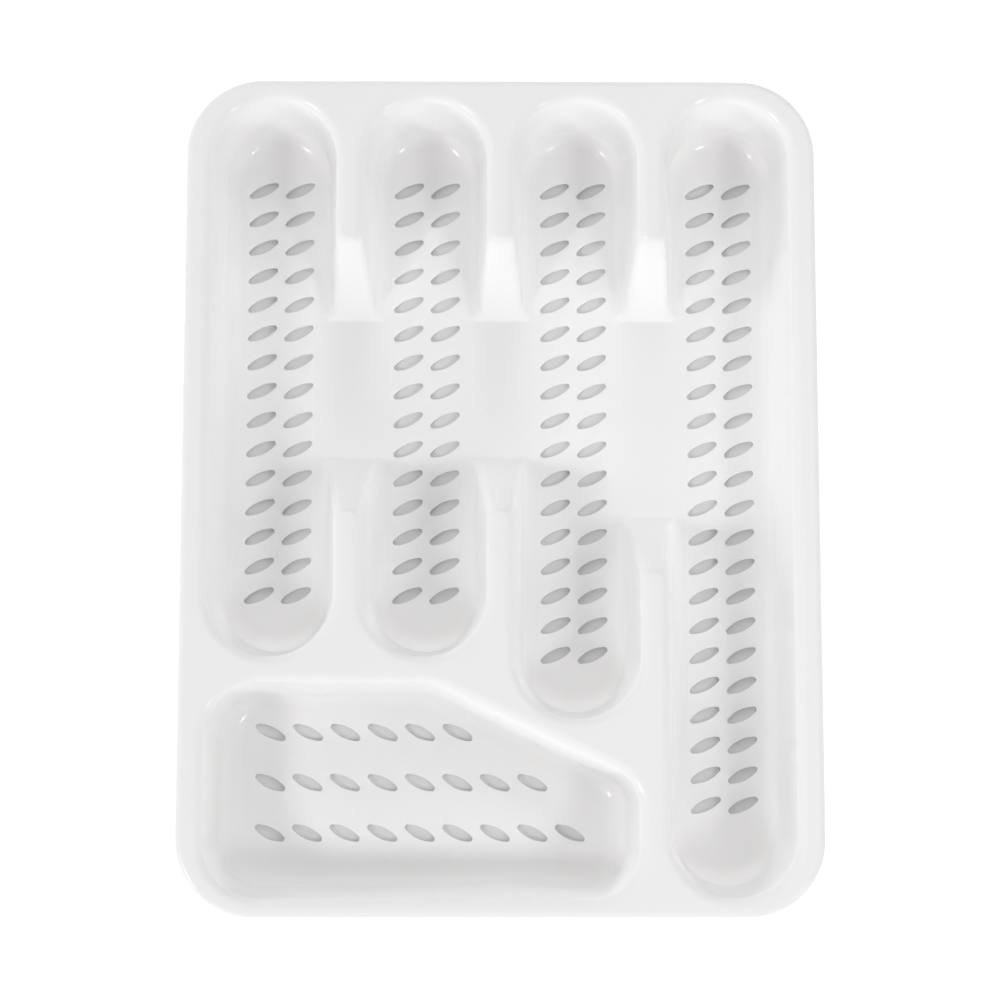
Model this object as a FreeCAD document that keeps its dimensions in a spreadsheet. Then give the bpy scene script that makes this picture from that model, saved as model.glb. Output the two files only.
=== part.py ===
import FreeCAD, Part
import math
import os
import re
import Sketcher

# Cutlery tray, moulded in one shell of even thickness: a flat deck with a turned-down rim, four long tubs
# side by side, a wide tub in front of the three shorter ones, and finger channels across the dividers.
# +Z is up and +Y is the rear. The tub floors rest on Z = 0, and the origin is in the middle of the tray.
# Each tub's own origin is the centre of its rear end arc, so the long tubs share one line across the tray.

DRIVING = (
    ("wall", 2, "thickness of the shell"),
    ("tray_height", 40, "underside of the tub floors to the top of the deck"),
    ("tub_width", 54, "width of a long tub where its lip leaves the deck"),
    ("tub_gap", 6, "flat top of a divider between two long tubs"),
    ("side_rim", 8, "deck from an outer tub to the side of the tray"),
    ("rear_rim", 5.5, "deck from the long tubs to the rear of the tray"),
    ("front_rim", 5, "deck from the longest tub to the front of the tray"),
    ("rim_radius", 30, "corner of the tray seen from above"),
    ("skirt_drop", 6, "top of the deck to the lower edge of the turned-down rim"),
    ("lip_hollow", 0.5, "radius under the bend where the deck turns down"),
    ("draft", 6.5, "lean of the tub walls from upright, in degrees"),
    ("floor_radius", 6, "fillet between a tub's wall and its floor"),
    ("utensil_length", 319.5, "utensil tub, lip to lip"),
    ("channel_inset", 59, "end of a tub to the crest of the finger channel beside it"),
    ("ramp_run", 26, "length in plan of a finger channel's ramp"),
    ("drain_gap", 3, "flat floor between the two drain holes of a row in a long tub"),
    ("drain_width", 4.6, "drain hole across its middle"),
    ("drain_tip", 1.2, "radius of a drain hole's two ends"),
    ("drain_tilt", 25, "long axis of a drain hole from the X axis, in degrees"),
    ("drain_edge", 1.6, "flat floor left beside a drain hole in a long tub"),
    ("row_spacing", 12, "drain rows in the long tubs"),
    ("row_margin", 30, "rear end of a long tub to its first drain row"),
    ("row_tail", 28, "least length from the last drain row to the front end of a long tub"),
    ("tea_web", 5, "deck between the short tubs and the teaspoon tub"),
    ("tea_side_web", 7, "deck between the teaspoon tub and the utensil tub"),
    ("tea_depth", 87.5, "teaspoon tub, front lip to rear lip"),
    ("tea_side_depth", 49.2, "right side of the teaspoon tub, front lip to the corner with its slanted edge"),
    ("tea_corner", 24, "left corners of the teaspoon tub at its lip"),
    ("tea_bend", 30, "bend from the rear edge of the teaspoon tub into its slanted edge"),
    ("tea_point", 20, "corner of the slanted edge and the right edge"),
    ("tea_front_corner", 22, "front right corner of the teaspoon tub"),
    ("slant", 25, "slanted edge from the X axis, in degrees"),
    ("slant_web", 4, "deck between the slanted edge and the end of the knife tub"),
    ("tea_hole_spacing", 15, "drain holes along a row of the teaspoon tub"),
    ("tea_row_spacing", 20, "drain rows of the teaspoon tub"),
    ("tea_first_column", 25, "left edge of the teaspoon tub to its first drain hole"),
    ("tea_last_column", 26, "least length from the last drain hole to the right edge"),
    ("tea_first_row", 26.5, "front edge of the teaspoon tub to its first drain row"),
    ("tea_last_row", 20, "least length from the last drain row to the rear edge"),
    ("slant_clear", 0.6, "least flat floor between a drain hole and the foot of the slanted wall"),
    ("overrun", 5, "how far every cut reaches past what it cuts"),
)

DERIVED = (
    ("tub_radius", "tub_width / 2"),
    ("tub_pitch", "tub_width + tub_gap"),
    ("tray_width", "4 * tub_width + 3 * tub_gap + 2 * side_rim"),
    ("tray_length", "rear_rim + utensil_length + front_rim"),
    ("lip_radius", "wall + lip_hollow"),
    ("depth", "tray_height - wall"),
    ("bends", "lip_radius + floor_radius"),
    ("floor_inset", "bends * cos(draft * 1 deg)"
                    " + (depth - bends * (1 - sin(draft * 1 deg))) * tan(draft * 1 deg)"),
    ("floor_half", "tub_radius - floor_inset"),
    ("channel_half", "tub_gap / 2 + floor_inset"),
    ("rear_arc", "tray_length / 2 - rear_rim - tub_radius"),
    ("short_length", "utensil_length - tea_web - tea_depth"),
    ("short_run", "short_length - tub_width"),
    ("utensil_run", "utensil_length - tub_width"),
    ("rim_inner", "rim_radius - lip_radius"),
    ("rim_rear", "rear_rim + tub_radius - rim_radius"),
    ("rim_run_x", "tray_width - 2 * rim_radius"),
    ("rim_run_y", "tray_length - 2 * rim_radius"),
    ("ramp_shift", "wall * tan(atan(depth / ramp_run) / 2)"),
    ("rear_crest", "tub_radius - channel_inset"),
    ("rear_foot", "rear_crest - ramp_run"),
    ("short_crest", "tub_radius + channel_inset - short_length"),
    ("short_foot", "short_crest + ramp_run"),
    ("knife_crest", "tub_radius + channel_inset - knife_length"),
    ("knife_foot", "knife_crest + ramp_run"),
    ("drain_dx", "(floor_half - drain_edge - drain_gap / 2) / 2 - drain_tip"),
    ("drain_reach", "drain_dx / cos(drain_tilt * 1 deg)"),
    ("drain_dy", "drain_reach * sin(drain_tilt * 1 deg)"),
    ("drain_side", "(drain_reach ^ 2 + drain_width ^ 2 / 4 - drain_tip ^ 2) / (drain_width - 2 * drain_tip)"),
    ("column_x", "drain_gap / 2 + drain_tip + drain_dx"),
    ("short_rows", "floor((short_length - row_margin - row_tail) / row_spacing) + 1"),
    ("knife_rows", "floor((knife_length - row_margin - row_tail) / row_spacing) + 1"),
    ("utensil_rows", "floor((utensil_length - row_margin - row_tail) / row_spacing) + 1"),
    ("tea_x", "side_rim + tea_corner - tray_width / 2"),
    ("tea_drop", "tub_radius - short_length - tea_web - tea_corner"),
    ("tea_front", "tea_corner - tea_depth"),
    ("tea_right", "1.5 * tub_pitch - tub_radius - tea_side_web - tea_x"),
    ("slant_sin", "sin(slant * 1 deg)"),
    ("slant_cos", "cos(slant * 1 deg)"),
    ("slant_line", "tea_right * slant_sin + (tea_front + tea_side_depth) * slant_cos"),
    ("slant_room", "floor_inset + drain_width / 2 + slant_clear"),
    ("knife_run", "((tub_pitch / 2 - tea_x) * slant_sin - tub_radius - slant_web - slant_line) / slant_cos"
                  " - tea_drop"),
    ("knife_length", "knife_run + tub_width"),
    ("bend_y", "tea_corner - tea_bend"),
    ("bend_x", "(slant_line - tea_bend - bend_y * slant_cos) / slant_sin"),
    ("point_x", "tea_right - tea_point"),
    ("point_y", "(slant_line - tea_point - point_x * slant_sin) / slant_cos"),
    ("tea_rows", "floor((tea_depth - tea_first_row - tea_last_row) / tea_row_spacing) + 1"),
    ("tea_hole_x", "tea_first_column - tea_corner"),
    ("tea_hole_y", "tea_front + tea_first_row"),
)

doc = FreeCAD.newDocument("cutlery_tray")
sheet = doc.addObject("Spreadsheet::Sheet", "Sizes")
CELLS = [(name, str(value), note) for name, value, note in DRIVING]
CELLS += [(name, "=" + formula, "worked out") for name, formula in DERIVED]
for row, (name, content, note) in enumerate(CELLS, start=1):
    sheet.set(f"A{row}", name)
    sheet.set(f"B{row}", content)
    sheet.set(f"C{row}", note)
    sheet.setAlias(f"B{row}", name)
doc.recompute()

# The three reference points of a sketcher element, and the two axes of a sketch
START, END, CENTRE = range(1, 4)
X_AXIS, Y_AXIS = -START, -END
UP, LEFT = math.pi / 2, math.pi


def size(text):
    """Number that an expression in the sheet's names has now."""
    return float(sheet.evalExpression(text))


def linked(text):
    """The same expression as the other objects of the document write it."""
    return re.sub(r"\b[a-z]\w*\b(?!\()", r"Sizes.\g<0>", text)


def point(x, y):
    return FreeCAD.Vector(x, y, 0)


def arc(sketch, centre, radius, first, last):
    """Arc drawn anticlockwise from one angle to another; returns its number in the sketch."""
    circle = Part.Circle(centre, FreeCAD.Vector(0, 0, 1), radius)
    return sketch.addGeometry(Part.ArcOfCircle(circle, first, last))


def line(sketch, first, last):
    return sketch.addGeometry(Part.LineSegment(first, last))


def fix(sketch, kind, *place, to):
    """Constraint whose value follows an expression in the sheet's names."""
    value = math.radians(size(to)) if kind == "Angle" else size(to)
    number = sketch.addConstraint(Sketcher.Constraint(kind, *place, value))
    sketch.setExpression(f"Constraints[{number}]", linked(to))


def hold(sketch, kind, *place):
    sketch.addConstraint(Sketcher.Constraint(kind, *place))


def locate(sketch, element, which, x, y):
    """Keeps a point of an element at two expressions, or on an axis where one is zero."""
    for kind, axis, to in (("DistanceX", Y_AXIS, x), ("DistanceY", X_AXIS, y)):
        if to == "0":
            hold(sketch, "PointOnObject", element, which, axis)
        else:
            fix(sketch, kind, X_AXIS, START, element, which, to=to)


def new_body(label, x, y):
    """Sub-part with its own origin at two expressions in the tray's plan."""
    body = doc.addObject("PartDesign::Body", label)
    body.Label = label
    body.setExpression("Placement.Base.x", linked(x))
    body.setExpression("Placement.Base.y", linked(y))
    return body


def origin(body, role):
    return next(feature for feature in body.Origin.OriginFeatures if feature.Role == role)


def new_sketch(body, name, role, offset="0"):
    """Sketch on one of the body's own planes, moved along the plane's normal by an expression."""
    sketch = body.newObject("Sketcher::SketchObject", name)
    sketch.AttachmentSupport = [(origin(body, role), "")]
    sketch.MapMode = "FlatFace"
    sketch.setExpression("AttachmentOffset.Base.z", linked(offset))
    return sketch


def polygon(sketch, corners):
    """Closed outline of straight lines through corners that are pairs of expressions."""
    points = [point(size(x), size(y)) for x, y in corners]
    sides = [line(sketch, *pair) for pair in zip(points, points[1:] + points[:1])]
    for side, following in zip(sides, sides[1:] + sides[:1]):
        hold(sketch, "Coincident", side, END, following, START)
    for side, corner in zip(sides, corners):
        locate(sketch, side, START, *corner)


def belt(sketch, arcs):
    """Closed outline of arcs, each a centre and a radius, and the straight lines that touch them.
    The arcs come in clockwise order seen from above and bulge outwards."""
    circles = [(point(size(x), size(y)), size(radius)) for x, y, radius in arcs]
    normals = []
    for (centre, radius), (following, next_radius) in zip(circles, circles[1:] + circles[:1]):
        way = following - centre
        normals.append(math.atan2(way.y, way.x) + math.acos((radius - next_radius) / way.Length))
    bends = []
    for (centre, radius), normal_in, normal_out in zip(circles, normals[-1:] + normals[:-1], normals):
        bends.append(arc(sketch, centre, radius, normal_out, normal_in))
    for number, normal in enumerate(normals):
        outward = point(math.cos(normal), math.sin(normal))
        following = (number + 1) % len(arcs)
        ends = [circles[each][0] + outward * circles[each][1] for each in (number, following)]
        side = line(sketch, *ends)
        hold(sketch, "Tangent", bends[number], START, side, START)
        hold(sketch, "Tangent", side, END, bends[following], END)
    for bend, (x, y, radius) in zip(bends, arcs):
        locate(sketch, bend, CENTRE, x, y)
        fix(sketch, "Radius", bend, to=radius)


def tub_side(sketch, lip_x):
    """Inner surface of a tub in section: the lip's arc from the deck, the drafted wall and the floor fillet.
    The tub is on the +X side of the lip. Returns the two arcs."""
    lean = math.radians(size("draft"))
    outward = point(math.cos(lean), math.sin(lean))
    lip_centre = point(size(lip_x), size("tray_height - lip_radius"))
    foot_centre = point(size(lip_x) + size("floor_inset"), size("wall + floor_radius"))
    lip = arc(sketch, lip_centre, size("lip_radius"), lean, UP)
    foot = arc(sketch, foot_centre, size("floor_radius"), LEFT + lean, LEFT + UP)
    side = line(sketch, foot_centre - outward * size("floor_radius"),
                lip_centre + outward * size("lip_radius"))
    hold(sketch, "Tangent", side, END, lip, START)
    hold(sketch, "Tangent", side, START, foot, START)
    locate(sketch, lip, CENTRE, lip_x, "tray_height - lip_radius")
    fix(sketch, "Radius", lip, to="lip_radius")
    fix(sketch, "Radius", foot, to="floor_radius")
    hold(sketch, "Vertical", lip, CENTRE, lip, END)
    hold(sketch, "Vertical", foot, CENTRE, foot, END)
    fix(sketch, "DistanceY", X_AXIS, START, foot, END, to="wall")
    fix(sketch, "Angle", side, to="90 + draft")
    return lip, foot


def wall_section(sketch, lip_x):
    """Section of a tub's wall: its inner surface, and the outer one a wall's thickness behind it."""
    lip, foot = tub_side(sketch, lip_x)
    lean = math.radians(size("draft"))
    outward = point(math.cos(lean), math.sin(lean))
    lip_centre = point(size(lip_x), size("tray_height - lip_radius"))
    foot_centre = point(size(lip_x) + size("floor_inset"), size("wall + floor_radius"))
    under_lip = arc(sketch, lip_centre, size("lip_hollow"), lean, UP)
    under_foot = arc(sketch, foot_centre, size("floor_radius + wall"), LEFT + lean, LEFT + UP)
    back = line(sketch, foot_centre - outward * size("floor_radius + wall"),
                lip_centre + outward * size("lip_hollow"))
    floor_edge = line(sketch, point(foot_centre.x, size("wall")), point(foot_centre.x, 0))
    deck_edge = line(sketch, point(lip_centre.x, size("depth")), point(lip_centre.x, size("tray_height")))
    hold(sketch, "Coincident", under_lip, CENTRE, lip, CENTRE)
    hold(sketch, "Coincident", under_foot, CENTRE, foot, CENTRE)
    fix(sketch, "Radius", under_lip, to="lip_hollow")
    hold(sketch, "Tangent", back, END, under_lip, START)
    hold(sketch, "Tangent", back, START, under_foot, START)
    hold(sketch, "Coincident", floor_edge, START, foot, END)
    hold(sketch, "Coincident", floor_edge, END, under_foot, END)
    hold(sketch, "Vertical", floor_edge)
    hold(sketch, "PointOnObject", floor_edge, END, X_AXIS)
    hold(sketch, "Coincident", deck_edge, START, under_lip, END)
    hold(sketch, "Coincident", deck_edge, END, lip, END)
    hold(sketch, "Vertical", deck_edge)


def skirt_section(sketch):
    """Section of the rim: the deck's edge bent down over an outer arc, with a short upright leg."""
    edge_x = "0 - rim_inner"
    centre = point(size(edge_x), size("tray_height - lip_radius"))
    outer_x = centre.x - size("lip_radius")
    inner_x = centre.x - size("lip_hollow")
    bottom = size("tray_height - skirt_drop")
    outer = arc(sketch, centre, size("lip_radius"), UP, LEFT)
    inner = arc(sketch, centre, size("lip_hollow"), UP, LEFT)
    outer_leg = line(sketch, point(outer_x, centre.y), point(outer_x, bottom))
    lower_edge = line(sketch, point(outer_x, bottom), point(inner_x, bottom))
    inner_leg = line(sketch, point(inner_x, bottom), point(inner_x, centre.y))
    deck_edge = line(sketch, point(centre.x, size("depth")), point(centre.x, size("tray_height")))
    locate(sketch, outer, CENTRE, edge_x, "tray_height - lip_radius")
    fix(sketch, "Radius", outer, to="lip_radius")
    hold(sketch, "Vertical", outer, CENTRE, outer, START)
    hold(sketch, "Tangent", outer, END, outer_leg, START)
    hold(sketch, "Vertical", outer_leg)
    hold(sketch, "Coincident", outer_leg, END, lower_edge, START)
    hold(sketch, "Horizontal", lower_edge)
    fix(sketch, "DistanceY", X_AXIS, START, lower_edge, END, to="tray_height - skirt_drop")
    hold(sketch, "Coincident", lower_edge, END, inner_leg, START)
    hold(sketch, "Vertical", inner_leg)
    hold(sketch, "Tangent", inner_leg, END, inner, END)
    hold(sketch, "Coincident", inner, CENTRE, outer, CENTRE)
    fix(sketch, "Radius", inner, to="lip_hollow")
    hold(sketch, "Coincident", inner, START, deck_edge, START)
    hold(sketch, "Coincident", outer, START, deck_edge, END)
    hold(sketch, "Vertical", deck_edge)


def drain_oval(sketch, x, y, turn):
    """Drain hole of four arcs: two rounded ends, and two long sides. turn is + or - for its tilt."""
    tilt = math.radians(size(turn + "drain_tilt"))
    along = point(math.cos(tilt), math.sin(tilt))
    across = point(-along.y, along.x)
    middle = point(size(x), size(y))
    reach = along * size("drain_reach")
    bow = across * size("drain_side - drain_width / 2")
    swing = math.atan2(bow.Length, reach.Length)
    tips = [(middle + reach, x + " + drain_dx", y + turn + "drain_dy"),
            (middle - reach, x + " - drain_dx", y + " - (" + turn + "drain_dy)")]
    ovals = []
    for half_turn, (tip, tip_x, tip_y), side in zip((0, math.pi), tips, (middle - bow, middle + bow)):
        heading = tilt + half_turn
        end = arc(sketch, tip, size("drain_tip"), heading - swing, heading + swing)
        flank = arc(sketch, side, size("drain_side"), heading + swing, heading + math.pi - swing)
        locate(sketch, end, CENTRE, tip_x, tip_y)
        fix(sketch, "Radius", end, to="drain_tip")
        fix(sketch, "Radius", flank, to="drain_side")
        ovals += [end, flank]
    for element, following in zip(ovals, ovals[1:] + ovals[:1]):
        hold(sketch, "Tangent", element, END, following, START)


def pad(body, sketch, length, both_ways=False):
    feature = body.newObject("PartDesign::Pad", sketch.Name + "_pad")
    feature.Profile = sketch
    feature.SideType = "Symmetric" if both_ways else "One side"
    feature.setExpression("Length", linked(length))
    doc.recompute()
    return feature


def pocket(body, sketch, length=None, side="One side", backwards=False):
    """Cut along a sketch's normal, right through where no length is given. It has to take something away."""
    before = body.Shape.Volume
    feature = body.newObject("PartDesign::Pocket", sketch.Name + "_cut")
    feature.Profile = sketch
    feature.SideType = side
    feature.Reversed = backwards
    if length is None:
        feature.Type = "ThroughAll"
    else:
        feature.setExpression("Length", linked(length))
    doc.recompute()
    if not body.Shape.Volume < before:
        raise RuntimeError(f"{feature.Name} cuts nothing from {body.Label}")
    return feature


def sweep(body, section, path):
    feature = body.newObject("PartDesign::AdditivePipe", section.Name + "_sweep")
    feature.Profile = section
    feature.Spine = path
    doc.recompute()
    return feature


def repeat(body, feature, role, pitch, count, backwards=False):
    """Repeats a cut along one of the body's own axes."""
    pattern = body.newObject("PartDesign::LinearPattern", feature.Name + "_pattern")
    pattern.Originals = [feature]
    pattern.Direction = (origin(body, role), [""])
    pattern.Reversed = backwards
    pattern.Mode = "Spacing"
    pattern.setExpression("Offset", linked(pitch))
    pattern.setExpression("Occurrences", linked(count))
    body.Tip = pattern
    doc.recompute()


# Outlines that several sub-parts share, as arcs for the belt and corners for the polygon

def long_tub_arcs(kind, radius, x="0"):
    return [(x, "0", radius), (x, f"0 - {kind}_run", radius)]


def teaspoon_arcs(inset, x="0", y="0"):
    return [
        (x, y, f"tea_corner - {inset}"),
        (f"{x} + bend_x", f"{y} + bend_y", f"tea_bend - {inset}"),
        (f"{x} + point_x", f"{y} + point_y", f"tea_point - {inset}"),
        (f"{x} + tea_right - tea_front_corner", f"{y} + tea_front + tea_front_corner",
         f"tea_front_corner - {inset}"),
        (x, f"{y} + tea_front + tea_corner", f"tea_corner - {inset}"),
    ]


def rim_arcs(left, rear):
    right = f"{left} + rim_run_x"
    front = f"{rear} - rim_run_y"
    return [(x, y, "rim_inner") for x, y in ((left, rear), (right, rear), (right, front), (left, front))]


def channel_corners(kind):
    """All that a finger channel takes out of the walls and the deck, its own thickness included."""
    rear = ("rear_foot + ramp_shift", "rear_crest + ramp_shift", "rear_crest")
    front = (f"{kind}_foot - ramp_shift", f"{kind}_crest - ramp_shift", f"{kind}_crest")
    below, above = "0 - overrun", "tray_height + overrun"
    return [
        (front[0], below), (rear[0], below), (rear[0], "0"), (rear[1], "depth"), (rear[2], "tray_height"),
        (rear[2], above), (front[2], above), (front[2], "tray_height"), (front[1], "depth"), (front[0], "0"),
    ]


def beyond_channel(kind, end):
    """The half of a long tub on the far side of the middle of its channels from the given end."""
    middle = "(rear_foot + short_foot) / 2"
    far = "tub_radius + overrun" if end == "front_" else f"0 - {kind}_run - tub_radius - overrun"
    below, above = "0 - overrun", "tray_height + overrun"
    return [(middle, below), (far, below), (far, above), (middle, above)]


# The long tubs: centre line in tub pitches, length, and the channel that crosses each side
TUBS = (
    ("fork", "-1.5 * tub_pitch", "short", None, "short"),
    ("spoon", "-0.5 * tub_pitch", "short", "short", "short"),
    ("knife", "0.5 * tub_pitch", "knife", "short", "knife"),
    ("utensil", "1.5 * tub_pitch", "utensil", "knife", None),
)
# The finger channels: centre line, and the tub whose length sets the front ramp
CHANNELS = (
    ("left", "-1 * tub_pitch", "short"),
    ("middle", "0 * tub_pitch", "short"),
    ("right", "1 * tub_pitch", "knife"),
)
parts = []

# The deck: a flat plate inside the rim's bend, with five openings and a gap in each divider
deck = new_body("rim_deck", "0", "rear_arc")
outline = new_sketch(deck, "deck_outline", "XY_Plane", "depth")
belt(outline, rim_arcs("0 - rim_run_x / 2", "rim_rear"))
pad(deck, outline, "wall")
openings = new_sketch(deck, "deck_openings", "XY_Plane", "depth")
for _, centre_x, kind, _, _ in TUBS:
    belt(openings, long_tub_arcs(kind, "tub_radius", centre_x))
belt(openings, teaspoon_arcs("0", "tea_x", "tea_drop"))
pocket(deck, openings, side="Symmetric")
for label, centre_x, kind in CHANNELS:
    gap = new_sketch(deck, f"{label}_deck_gap", "YZ_Plane", centre_x)
    polygon(gap, channel_corners(kind))
    pocket(deck, gap, "tub_pitch", "Symmetric")
parts.append(deck)

# The rim: the deck's edge turned down all round
skirt = new_body("rim_skirt", "0 - rim_run_x / 2", "rear_arc + rim_rear")
rim_path = new_sketch(skirt, "rim_path", "XY_Plane", "tray_height")
belt(rim_path, rim_arcs("0", "0"))
rim_section = new_sketch(skirt, "rim_section", "XZ_Plane")
skirt_section(rim_section)
sweep(skirt, rim_section, rim_path)
parts.append(skirt)

# The long tubs: a wall swept round each tub and opened for the channels, and a perforated floor inside it.
# Where channels cross both sides, they part the wall into a rear end and a front end.
for label, centre_x, kind, left_channel, right_channel in TUBS:
    parted = left_channel and right_channel
    for end in ("rear_", "front_") if parted else ("",):
        wall = new_body(f"{label}_tub_{end}wall", centre_x, "rear_arc")
        path = new_sketch(wall, f"{label}_{end}lip_path", "XY_Plane", "tray_height")
        belt(path, long_tub_arcs(kind, "tub_radius"))
        section = new_sketch(wall, f"{label}_{end}wall_section", "XZ_Plane")
        wall_section(section, "0 - tub_radius")
        sweep(wall, section, path)
        for side, channel in (("left", left_channel), ("right", right_channel)):
            if channel:
                gap = new_sketch(wall, f"{label}_{end}{side}_gap", "YZ_Plane")
                polygon(gap, channel_corners(channel))
                pocket(wall, gap, "tub_radius + overrun", backwards=side == "right")
        if parted:
            other_end = new_sketch(wall, f"{label}_{end}limit", "YZ_Plane")
            polygon(other_end, beyond_channel(kind, end))
            pocket(wall, other_end, side="Symmetric")
        parts.append(wall)

    floor = new_body(f"{label}_tub_floor", centre_x, "rear_arc")
    outline = new_sketch(floor, f"{label}_floor_outline", "XY_Plane")
    belt(outline, long_tub_arcs(kind, "floor_half"))
    pad(floor, outline, "wall")
    drain = new_sketch(floor, f"{label}_drain", "XY_Plane")
    for column_x in ("0 - column_x", "column_x"):
        drain_oval(drain, column_x, "tub_radius - row_margin", " + ")
    first_row = pocket(floor, drain, side="Symmetric")
    repeat(floor, first_row, "Y_Axis", "row_spacing", f"{kind}_rows", backwards=True)
    parts.append(floor)

# The teaspoon tub: the same wall section swept round a wide outline with one slanted edge
wall = new_body("teaspoon_tub_wall", "tea_x", "rear_arc + tea_drop")
path = new_sketch(wall, "teaspoon_lip_path", "XY_Plane", "tray_height")
belt(path, teaspoon_arcs("0"))
section = new_sketch(wall, "teaspoon_wall_section", "XZ_Plane")
wall_section(section, "0 - tea_corner")
sweep(wall, section, path)
parts.append(wall)

floor = new_body("teaspoon_tub_floor", "tea_x", "rear_arc + tea_drop")
outline = new_sketch(floor, "teaspoon_floor_outline", "XY_Plane")
belt(outline, teaspoon_arcs("floor_inset"))
pad(floor, outline, "wall")
for row in range(int(size("tea_rows"))):
    row_y = f"tea_hole_y + {row} * tea_row_spacing"
    slant_x = f"(slant_line - slant_room - ({row_y}) * slant_cos) / slant_sin"
    last_x = min("tea_right - tea_last_column", slant_x, key=size)
    drain = new_sketch(floor, f"teaspoon_drain_{row}", "XY_Plane")
    drain_oval(drain, "tea_hole_x", row_y, " - ")
    first_hole = pocket(floor, drain, side="Symmetric")
    columns = f"floor(({last_x} - tea_hole_x) / tea_hole_spacing) + 1"
    repeat(floor, first_hole, "X_Axis", "tea_hole_spacing", columns)
parts.append(floor)

# The finger channels: a floor level with the tub floors, and two ramps cut to the walls beside them
for label, centre_x, kind in CHANNELS:
    floor = new_body(f"{label}_finger_channel_floor", centre_x, "rear_arc")
    profile = new_sketch(floor, f"{label}_channel_profile", "YZ_Plane")
    polygon(profile, [(f"{kind}_foot", "wall"), ("rear_foot", "wall"),
                      ("rear_foot + ramp_shift", "0"), (f"{kind}_foot - ramp_shift", "0")])
    pad(floor, profile, "2 * channel_half", both_ways=True)
    parts.append(floor)
    for end, foot, crest, shift in (("rear", "rear_foot", "rear_crest", "+ ramp_shift"),
                                    ("front", f"{kind}_foot", f"{kind}_crest", "- ramp_shift")):
        ramp = new_body(f"{label}_finger_channel_{end}_ramp", centre_x, "rear_arc")
        profile = new_sketch(ramp, f"{label}_{end}_ramp_profile", "YZ_Plane")
        polygon(profile, [(foot, "wall"), (crest, "tray_height"),
                          (f"{crest} {shift}", "depth"), (f"{foot} {shift}", "0")])
        pad(ramp, profile, "2 * channel_half", both_ways=True)
        hollow = new_sketch(ramp, f"{label}_{end}_ramp_side", "XZ_Plane")
        lip, fillet = tub_side(hollow, "tub_gap / 2")
        inner, outer = size("tub_gap / 2"), size("channel_half + overrun")
        low, high, top = size("wall"), size("tray_height"), size("tray_height + overrun")
        corners = [point(inner, high), point(inner, top), point(outer, top), point(outer, low),
                   point(size("channel_half"), low)]
        sides = [line(hollow, *pair) for pair in zip(corners, corners[1:])]
        for side, following in zip(sides, sides[1:]):
            hold(hollow, "Coincident", side, END, following, START)
        hold(hollow, "Coincident", sides[0], START, lip, END)
        hold(hollow, "Coincident", sides[-1], END, fillet, END)
        for side, run in zip(sides, ("Vertical", "Horizontal", "Vertical", "Horizontal")):
            hold(hollow, run, side)
        locate(hollow, sides[1], END, "channel_half + overrun", "tray_height + overrun")
        cut = pocket(ramp, hollow, side="Symmetric")
        mirrored = ramp.newObject("PartDesign::Mirrored", f"{label}_{end}_ramp_sides")
        mirrored.Originals = [cut]
        mirrored.MirrorPlane = (origin(ramp, "YZ_Plane"), [""])
        ramp.Tip = mirrored
        parts.append(ramp)

doc.recompute()
failed = [thing.Name for thing in doc.Objects if {"Invalid", "Error"} & set(thing.State)]
failed += [part.Label for part in parts if part.Shape.isNull() or not part.Shape.isValid()]
if failed:
    raise RuntimeError("failed: " + ", ".join(failed))

os.makedirs("parts", exist_ok=True)
for part in parts:
    part.Shape.exportStep(os.path.join("parts", part.Label + ".step"))
    print(f"{part.Label}: {len(part.Shape.Solids)} solid, {part.Shape.Volume:.0f} mm3")
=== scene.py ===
import bmesh
import bpy
import math
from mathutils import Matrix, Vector


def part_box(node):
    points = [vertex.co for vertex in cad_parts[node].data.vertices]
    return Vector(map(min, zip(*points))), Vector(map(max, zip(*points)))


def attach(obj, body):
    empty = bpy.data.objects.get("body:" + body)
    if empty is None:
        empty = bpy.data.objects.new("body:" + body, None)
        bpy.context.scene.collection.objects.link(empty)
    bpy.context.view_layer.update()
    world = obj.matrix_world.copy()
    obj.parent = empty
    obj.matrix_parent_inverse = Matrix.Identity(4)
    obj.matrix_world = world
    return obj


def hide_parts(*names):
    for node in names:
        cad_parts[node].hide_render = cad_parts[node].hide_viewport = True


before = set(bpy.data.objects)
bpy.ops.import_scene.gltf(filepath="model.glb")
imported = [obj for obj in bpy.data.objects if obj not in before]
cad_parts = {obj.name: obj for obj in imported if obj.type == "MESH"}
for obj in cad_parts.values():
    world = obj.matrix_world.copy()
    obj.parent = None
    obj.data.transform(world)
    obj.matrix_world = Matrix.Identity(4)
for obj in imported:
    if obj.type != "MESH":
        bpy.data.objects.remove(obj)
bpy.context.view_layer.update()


# The plastic: one white polypropylene for the whole moulding, injected hot into a polished steel mould.
# It keeps a soft gloss, with the faint clouding, ripple and fine orange peel that such a mould leaves.

class Link:
    """Output of a node. Arithmetic with numbers or with other outputs adds a Math node."""

    def __init__(self, tree, socket):
        self.tree = tree
        self.socket = socket

    def __add__(self, other):
        return self.tree.math("ADD", self, other)

    def __radd__(self, other):
        return self.tree.math("ADD", other, self)

    def __sub__(self, other):
        return self.tree.math("SUBTRACT", self, other)

    def __rsub__(self, other):
        return self.tree.math("SUBTRACT", other, self)

    def __mul__(self, other):
        return self.tree.math("MULTIPLY", self, other)

    def __rmul__(self, other):
        return self.tree.math("MULTIPLY", other, self)

    def __gt__(self, other):
        return self.tree.math("GREATER_THAN", self, other)

    def __abs__(self):
        return self.tree.math("ABSOLUTE", self, 0)


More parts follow.
